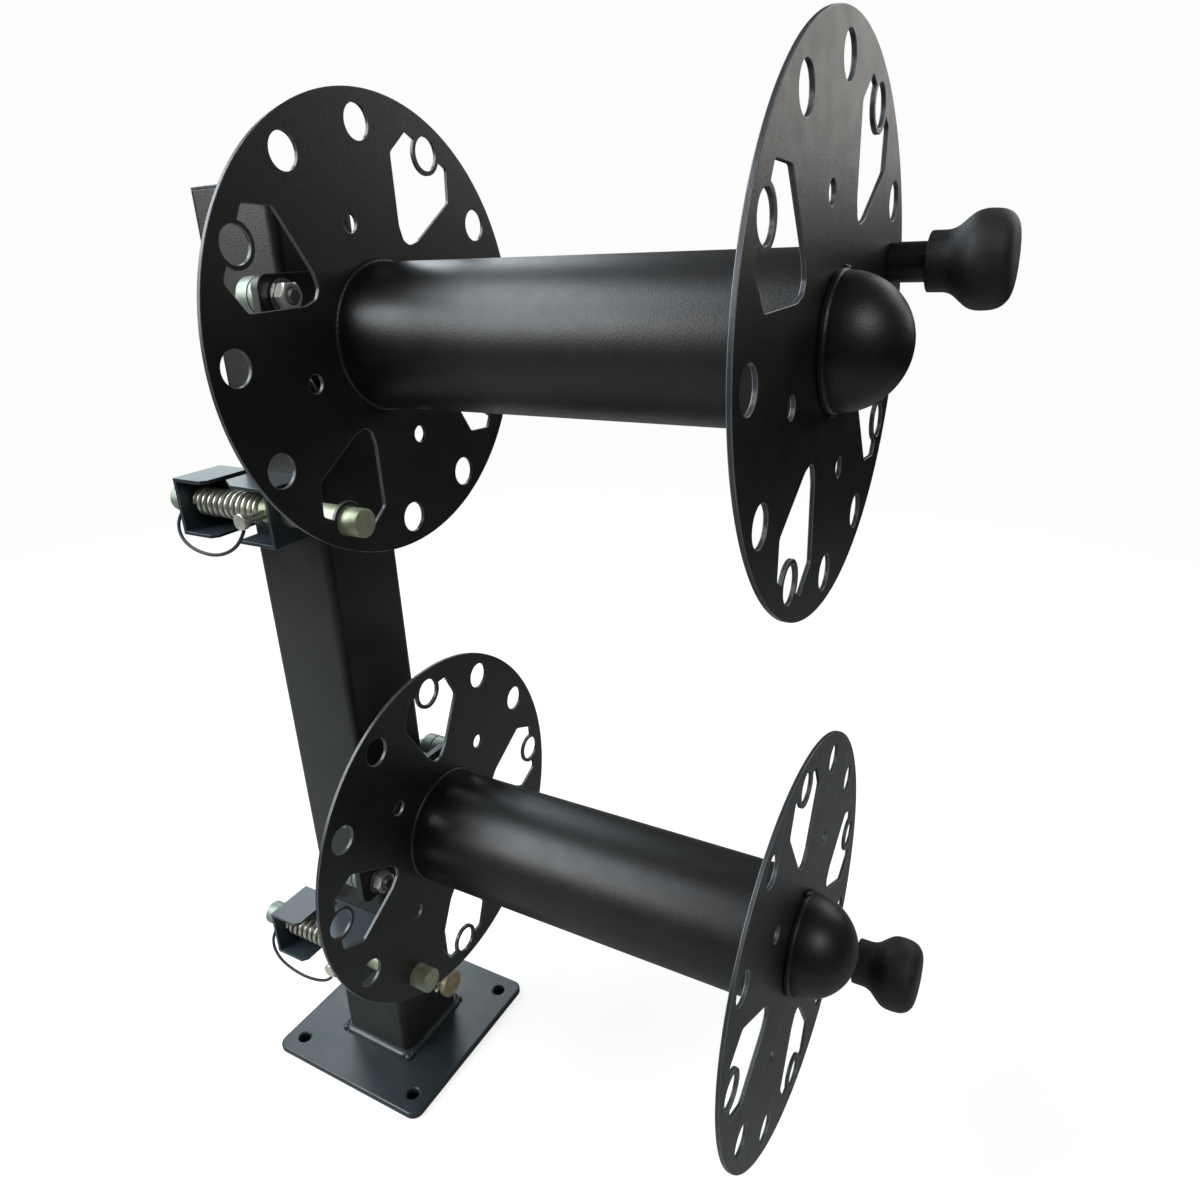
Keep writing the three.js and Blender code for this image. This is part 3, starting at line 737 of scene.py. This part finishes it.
def threadSurface(middle, radius, back, front, spec):
    # radius R - d |2 frac(y / p - a / 2 pi) - 1|, narrowing over the last turn, closed by poles
    rows = int(abs(back - front) / spec["pitch"] * spec["rowsPerTurn"]) + 2
    along = np.linspace(back, front, rows)
    angle = np.linspace(0, 2 * np.pi, spec["columns"], endpoint=False)
    phase = (along[:, None] / spec["pitch"] - angle / (2 * np.pi)) % 1
    wall = radius - spec["depth"] * np.abs(2 * phase - 1)
    lead = np.clip((along - front) / spec["pitch"], 0, 1)[:, None]
    wall = np.minimum(wall, radius - 1.3 + 1.3 * lead)
    wall = np.vstack([0 * wall[:1], wall, 0 * wall[:1]])
    along = np.r_[back, along, front]
    points = np.stack([wall * np.cos(angle), np.repeat(along[:, None], len(angle), 1),
                       wall * np.sin(angle)], -1)
    return points.reshape(-1, 3) + np.asarray(middle), gridFaces(len(along), len(angle))


def makeMount(reel):
    low, high = span(f"{reel}_mount_plate")
    x, _, z = (low + high) / 2
    bolts = [middleOf(f"{reel}_mount_bolt_{k}") for k in (1, 2, 3, 4)]
    loops = [roundedLoop(high[0] - low[0], high[2] - low[2], mountPlate["corner"], 8)]
    loops.append(circleLoop(0, 0, mountPlate["centreHole"], 48))
    loops += [circleLoop(b[0] - x, b[2] - z, mountPlate["boltHole"], 24) for b in bolts]
    points, faces, kinds = sheetMetal(loops, high[1] - low[1], mountPlate["edge"], facing(x, high[1], z))
    addPiece(f"{reel}MountPlate", points, faces, "blackCoat", "stand", [f"{reel}_mount_plate"],
             kinds=kinds)
    carryOver(f"{reel}_spindle_block", "blackCoat")
    for k in (1, 2, 3, 4):
        boltLow, boltHigh = span(f"{reel}_mount_bolt_{k}")
        nutLow, nutHigh = span(f"{reel}_mount_nut_{k}")
        middle = (bolts[k - 1][0], 0, bolts[k - 1][2])
        start = high[1] + gap
        split, rear = start + collarSpec["long"], start + 2 * collarSpec["long"]
        collar, groove, half = (collarSpec[key] for key in ("radius", "groove", "grooveHalf"))
        tail, bolt, end = collarSpec["tail"], collarSpec["bolt"], boltHigh[1]
        profile = [(0, end), (tail, end), (tail, rear), (collar, rear), (collar, split + half),
                   (groove, split + half), (groove, split - half), (collar, split - half),
                   (collar, start), (bolt, start), (bolt, low[1]), (0, low[1])]
        points, faces = turned(softCorners(profile, collarSpec["cut"]), middle, 56)
        addPiece(f"{reel}Collar{k}", points, faces, "paleZinc", "stand", [f"{reel}_mount_bolt_{k}"])
        washerBack = nutHigh[1] + gap / 2
        washerFront = washerBack - washerSpec["thick"]
        washer = softCorners([(washerSpec["bore"], washerBack), (washerSpec["radius"], washerBack),
                              (washerSpec["radius"], washerFront), (washerSpec["bore"], washerFront)],
                             washerSpec["edge"], closed=True)
        points, faces = turned(washer, middle, 56, closed=True)
        addPiece(f"{reel}Washer{k}", points, faces, "greySteel", "stand")
        points, faces = nutSurface(middle, washerFront, nutLow[1], nutSpec)
        addPiece(f"{reel}MountNut{k}", points, faces, "brightSteel", "stand", [f"{reel}_mount_nut_{k}"],
                 25)
        points, faces = threadSurface(middle, bolt, low[1] + 0.5, boltLow[1], threadSpec)
        addPiece(f"{reel}BoltEnd{k}", points, faces, "greySteel", "stand", (), 35)


def makeSpindle(reel):
    low, high = span(f"{reel}_spindle")
    x, _, z = (low + high) / 2
    boss = (high[0] - low[0]) / 2
    bossBack = span(f"{reel}_mount_plate")[0][1] - gap
    bossFront = span(f"{reel}_inner_flange")[1][1] + gap
    neck = span(f"{reel}_outer_flange")[1][1]
    rod, thread = spindle["radius"], spindle["thread"]
    profile = [(0, high[1]), (rod, high[1]), (rod, bossBack), (boss, bossBack), (boss, bossFront),
               (rod, bossFront), (rod, neck), (thread, neck), (thread, low[1]), (0, low[1])]
    points, faces = turned(softCorners(profile, spindle["cut"]), (x, 0, z), 64)
    addPiece(f"{reel}Spindle", points, faces, "brightSteel", "stand", [f"{reel}_spindle"])
    carryOver(f"{reel}_spindle_nut", "paleZinc")


for reel in reels:
    makeMount(reel)
    makeSpindle(reel)
print("mounts ready")


# ---- reel

flange = {"radius": 175.89, "edge": 0.55, "centreHole": 24, "rimCircle": 153.2, "rimHole": 12.7,
          "smallCircle": 88, "smallHole": 7, "steps": 256}
window = {"tip": (78, 4), "shoulder": (86, 12.5), "wide": (132, 38), "outer": (156, 27), "ring": 16.3,
          "soft": 2.4}
handleHole = {"radius": 6.4, "circle": 140, "angle": -45}


def windowLoop(angle):
    # half outline, mirrored: tip, shoulder, wide and outer corner, then an arc about the rim hole
    start = math.acos((window["outer"][0] - flange["rimCircle"]) / window["ring"])
    bite = np.linspace(start, math.pi, 22)[:-1]
    arc = np.stack([flange["rimCircle"] + window["ring"] * np.cos(bite), window["ring"] * np.sin(bite)],
                   -1)
    half = np.vstack([[window[key] for key in ("tip", "shoulder", "wide", "outer")], arc])
    whole = np.vstack([half, (half * (1, -1))[::-1]])
    cut = np.where(np.arange(len(half)) < 5, window["soft"], 0.3)
    whole = softCorners(whole, np.r_[cut, cut[::-1]], 5, closed=True)
    c, s = math.cos(angle), math.sin(angle)
    return whole @ np.array([[c, s], [-s, c]])


def flangeLoops(withHandle):
    around = np.arange(12) * math.pi / 6
    quarter = np.arange(4) * math.pi / 2
    loops = [circleLoop(0, 0, flange["radius"], flange["steps"]),
             circleLoop(0, 0, flange["centreHole"], 64)]
    loops += [circleLoop(flange["rimCircle"] * math.cos(a), flange["rimCircle"] * math.sin(a),
                         flange["rimHole"], 48) for a in around]
    loops += [windowLoop(a) for a in quarter]
    loops += [circleLoop(flange["smallCircle"] * math.cos(a + math.pi / 4),
                         flange["smallCircle"] * math.sin(a + math.pi / 4),
                         flange["smallHole"], 32) for a in quarter]
    if withHandle:
        a = math.radians(handleHole["angle"])
        loops.append(circleLoop(handleHole["circle"] * math.cos(a), handleHole["circle"] * math.sin(a),
                                handleHole["radius"], 24))
    return loops


drum = {"radius": 56, "wall": 4.5, "mouthCut": 0.6}
hubWeld = {"radius": 2.6, "ripple": 0.025, "pitch": 4.2, "sides": 12}
dome = {"radius": 42.4, "wall": 2.5, "rim": 4, "lip": 1.2}
tacks = (("Top", 78, 3.4), ("Bottom", 262, 2.6))  # place in degrees, and size
handle = {"stemRadius": 13.7, "axleRadius": 6}
knob = {
    # radius, and distance from the neck's end
    "outside": [(20.6, 11), (21.3, 14.5), (23, 18), (25.8, 21.4), (28.6, 24.7), (31.1, 28.2), (32.5, 32),
                (33, 36), (32.9, 40.5), (32.4, 44.8), (31.2, 48.5), (28.9, 51.8), (25.2, 54.6),
                (20.5, 56.1), (14, 56.8), (7, 57), (0, 57)],
    "neckRadius": 20.6,
    "neckLong": 11,
    "neckCut": 1.2,
    "boreDepth": 46,
}


def ringAngle(reel):
    stem = middleOf(f"{reel}_handle_stem")
    axis = middleOf(f"{reel}_spindle")
    return math.atan2(stem[2] - axis[2], stem[0] - axis[0]) - math.radians(handleHole["angle"])


def weldRing(middle, radius, side, spec, seed):
    # torus section r (1 + a sin(2 pi s / p) + slow waves) round a circle of the given radius
    angle = np.linspace(0, 2 * np.pi, 480, endpoint=False)
    path = np.stack([radius * np.cos(angle), 0 * angle, radius * np.sin(angle)], -1) + np.asarray(middle)
    travel = angle * radius
    slow = np.sin(angle * 3 + seed) * 0.06 + np.sin(angle * 7 + 2 * seed) * 0.05
    size = spec["radius"] * (1 + spec["ripple"] * np.sin(2 * np.pi * travel / spec["pitch"]) + slow)
    turn = np.linspace(0, 2 * np.pi, spec["sides"], endpoint=False)
    section = np.stack([size[:, None] * np.cos(turn), size[:, None] * np.sin(turn)], -1)
    return sweep(path, section, (0, side, 0), closedPath=True)


def makeReel(reel):
    body = f"{reel}_reel"
    axis = middleOf(f"{reel}_spindle")
    x, z = axis[0], axis[2]
    angle = ringAngle(reel)
    innerLow, innerHigh = span(f"{reel}_inner_flange")
    outerLow, outerHigh = span(f"{reel}_outer_flange")
    for name, back, thick in (("Inner", innerHigh[1], innerHigh[1] - innerLow[1]),
                              ("Outer", outerHigh[1], outerHigh[1] - outerLow[1])):
        points, faces, kinds = sheetMetal(flangeLoops(name == "Outer"), thick, flange["edge"],
                                          facing(x, back, z, angle))
        # painted light: walls of edges and holes take a lighter copy of the coat, rounded rims a still
        # lighter one as painted highlight
        addPiece(f"{reel}{name}Flange", points, faces, "blackCoat", body,
                 [f"{reel}_{name.lower()}_flange"], 20, kinds, ("litWallCoat", "edgeHighlightCoat"))
    drumLow, drumHigh = span(f"{reel}_drum")
    inner = drum["radius"] - drum["wall"]
    section = [(inner, drumHigh[1]), (drum["radius"], drumHigh[1]), (drum["radius"], drumLow[1]),
               (inner, drumLow[1])]
    section = softCorners(section, drum["mouthCut"], closed=True)
    points, faces = turned(section, (x, 0, z), 128, closed=True)
    addPiece(f"{reel}Drum", points, faces, "blackCoat", body, [f"{reel}_drum"])
    for name, at, side in (("Inner", innerLow[1], -1), ("Outer", outerHigh[1], 1)):
        points, faces = weldRing((x, at, z), drum["radius"] + 0.4, side, hubWeld, axis[2])
        addPiece(f"{reel}{name}DrumWeld", points, faces, "blackCoat", body, (), 60)
    for name in ("inner_bush", "outer_bush"):
        carryOver(f"{reel}_{name}", "bronzeBush")
    makeDome(reel, body, x, z)
    makeHandle(reel, body)


def makeDome(reel, body, x, z):
    # hemisphere (R cos f, -R sin f) on a short collar with a small rolled lip, and the same again inside
    base = span(f"{reel}_dome_cap")[1][1]
    centre = base - dome["rim"]
    turn = np.linspace(0, np.pi / 2, 30)
    outside = np.stack([dome["radius"] * np.cos(turn), centre - dome["radius"] * np.sin(turn)], -1)
    inner = dome["radius"] - dome["wall"]
    inside = np.stack([inner * np.cos(turn), centre - inner * np.sin(turn)], -1)[::-1]
    lipRadius = dome["radius"] + dome["lip"]
    rim = softCorners([(inner, base), (lipRadius, base), (lipRadius, centre + 0.6),
                       (dome["radius"] + 0.05, centre - 0.6)], 0.9)
    profile = np.vstack([rim, outside, inside])
    profile[len(rim) + len(outside) - 1, 0] = 0
    profile[len(rim) + len(outside), 0] = 0
    points, faces = turned(profile, (x, 0, z), 96, closed=True)
    addPiece(f"{reel}DomeCap", points, faces, "blackCoat", body, [f"{reel}_dome_cap"], 30)
    for name, at, size in tacks:
        points, faces = blob((x, base - 1.6, z), lipRadius, math.radians(at), size)
        addPiece(f"{reel}DomeTack{name}", points, faces, "blackCoat", body, (), 60)


def blob(middle, radius, at, size):
    # tack weld: sphere s (1 + 0.12 sin 5a sin 3f) stretched along the rim
    f = np.linspace(0, np.pi, 14)[:, None]
    a = np.linspace(0, 2 * np.pi, 24, endpoint=False)[None]
    s = size * (1 + 0.12 * np.sin(5 * a) * np.sin(3 * f))
    across = 1.5 * s * np.sin(f) * np.cos(a)
    along = 0.7 * s * np.sin(f) * np.sin(a)
    out = 0.6 * s * np.cos(f)
    reach = radius + out
    x = reach * math.cos(at) - across * math.sin(at)
    z = reach * math.sin(at) + across * math.cos(at)
    points = np.stack([x, along + 0 * x, z], -1).reshape(-1, 3) + np.asarray(middle)
    return points, gridFaces(14, 24)


def makeHandle(reel, body):
    low, high = span(f"{reel}_handle_stem")
    x, _, z = (low + high) / 2
    stemBack = span(f"{reel}_outer_flange")[0][1] - gap
    knobLow, knobHigh = span(f"{reel}_handle_knob")
    stemFront = knobHigh[1] + gap
    stem, axle = handle["stemRadius"], handle["axleRadius"]
    profile = [(0, high[1]), (axle, high[1]), (axle, stemBack), (stem, stemBack), (stem, stemFront),
               (axle, stemFront), (axle, low[1]), (0, low[1])]
    points, faces = turned(softCorners(profile, 0.5), (x, 0, z), 56)
    addPiece(f"{reel}HandleStem", points, faces, "blackCoat", body, [f"{reel}_handle_stem"])
    nutLow, nutHigh = span(f"{reel}_handle_nut")
    points, faces = nutSurface((x, 0, z), nutHigh[1], nutLow[1], nutSpec)
    addPiece(f"{reel}HandleNut", points, faces, "paleZinc", body, [f"{reel}_handle_nut"], 25)
    bore = axle + gap
    start = knobHigh[1]
    neck = [(bore, 0), (knob["neckRadius"], 0), (knob["neckRadius"], knob["neckLong"])]
    neck = softCorners(neck, knob["neckCut"], 6)[:-1]
    outside = smoothLine(knob["outside"], 5)
    profile = np.vstack([neck, outside, [(0, knob["boreDepth"]), (bore, knob["boreDepth"])]])
    profile[:, 0] = np.maximum(profile[:, 0], 0)
    profile[:, 1] = np.maximum(start - profile[:, 1], knobLow[1])
    points, faces = turned(profile, (x, 0, z), 80, closed=True)
    addPiece(f"{reel}Knob", points, faces, "knobPlastic", f"{reel}_knob", [f"{reel}_handle_knob"], 30)


for reel in reels:
    makeReel(reel)
print("reels ready")


# ---- lock

bracket = {"bevel": 0.9, "segments": 3}
plunger = {"noseCut": 1.1, "rodRadius": 6, "noseBack": -14}
pullHead = {"cut": 1.8, "bore": 6.3}
crossPin = {"radius": 4, "headRadius": 7, "headLong": 6, "headCut": 0.9}
spring = {"radius": 11.2, "wire": 2, "turns": 11.5, "flatTurns": 0.6, "stepsPerTurn": 36, "sides": 12}


def makeBracket(reel):
    # the folded sheet keeps the frame's shape: welded copy with softened edges
    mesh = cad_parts[f"{reel}_lock_bracket"].data.copy()
    shape = bmesh.new()
    shape.from_mesh(mesh)
    bmesh.ops.remove_doubles(shape, verts=shape.verts, dist=1e-6)
    bmesh.ops.dissolve_limit(shape, angle_limit=math.radians(2), verts=shape.verts, edges=shape.edges)
    shape.to_mesh(mesh)
    shape.free()
    mesh.materials.clear()
    mesh.materials.append(looks["bracketCoat"])
    mesh.materials.append(looks["bracketEdgeHighlight"])
    piece = bpy.data.objects.new(f"{reel}LockBracket", mesh)
    bpy.context.scene.collection.objects.link(piece)
    soften = piece.modifiers.new("softEdges", "BEVEL")
    soften.width = bracket["bevel"] * metresPerMm
    soften.segments = bracket["segments"]
    soften.limit_method = "ANGLE"
    soften.angle_limit = math.radians(40)
    # painted highlight: the bevel's faces take the second, much lighter material
    soften.material = 1
    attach(piece, "stand")
    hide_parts(f"{reel}_lock_bracket")


def makeLock(reel):
    body = f"{reel}_lock"
    low, high = span(f"{reel}_lock_plunger")
    x, _, z = (low + high) / 2
    nose = (high[0] - low[0]) / 2
    rod = plunger["rodRadius"]
    noseBack = plunger["noseBack"]
    profile = [(0, high[1]), (rod, high[1]), (rod, noseBack), (nose, noseBack), (nose, low[1]),
               (0, low[1])]
    points, faces = turned(softCorners(profile, plunger["noseCut"]), (x, 0, z), 64)
    addPiece(f"{reel}Plunger", points, faces, "oliveZinc", body, [f"{reel}_lock_plunger"])
    pullLow, pullHigh = span(f"{reel}_lock_pull")
    head = (pullHigh[0] - pullLow[0]) / 2
    profile = [(0, pullHigh[1]), (head, pullHigh[1]), (head, pullLow[1]), (pullHead["bore"], pullLow[1]),
               (pullHead["bore"], high[1] + gap), (0, high[1] + gap)]
    points, faces = turned(softCorners(profile, pullHead["cut"], 6), (x, 0, z), 56)
    addPiece(f"{reel}PullHead", points, faces, "paleZinc", body, [f"{reel}_lock_pull"])
    makeCrossPin(reel, body, z)
    makeSpring(reel, x, z)


def makeCrossPin(reel, body, z):
    low, high = span(f"{reel}_lock_cross_pin")
    middle = (0, (low[1] + high[1]) / 2, z)
    rod, head, neck = crossPin["radius"], crossPin["headRadius"], low[0] + crossPin["headLong"]
    profile = [(0, low[0]), (head, low[0]), (head, neck), (rod, neck), (rod, high[0]), (0, high[0])]
    points, faces = turned(softCorners(profile, crossPin["headCut"]), middle, 48, axis="x")
    addPiece(f"{reel}CrossPin", points, faces, "creamSteel", body, [f"{reel}_lock_cross_pin"])


def makeSpring(reel, x, z):
    # helix (R cos w, y, R sin w); y crawls by one wire a turn in the flat end turns, evenly between them
    low, high = span(f"{reel}_lock_spring")
    wire, turns, flat = spring["wire"], spring["turns"], spring["flatTurns"]
    front, back = low[1] + wire, high[1] - wire
    turn = np.linspace(0, turns, int(turns * spring["stepsPerTurn"]) + 1)
    crawl = 2 * wire * flat
    y = np.interp(turn, [0, flat, turns - flat, turns], [front, front + crawl, back - crawl, back])
    angle = turn * 2 * np.pi
    path = np.stack([x + spring["radius"] * np.cos(angle), y, z + spring["radius"] * np.sin(angle)], -1)
    outward = np.stack([np.cos(angle), 0 * angle, np.sin(angle)], -1)
    points, faces = sweep(path, ring(wire, spring["sides"]), outward)
    coil = addPiece(f"{reel}Spring", points, faces, "springWire", "stand", [f"{reel}_lock_spring"], 60)
    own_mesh(coil)


for reel in reels:
    makeBracket(reel)
    makeLock(reel)
print("locks ready")
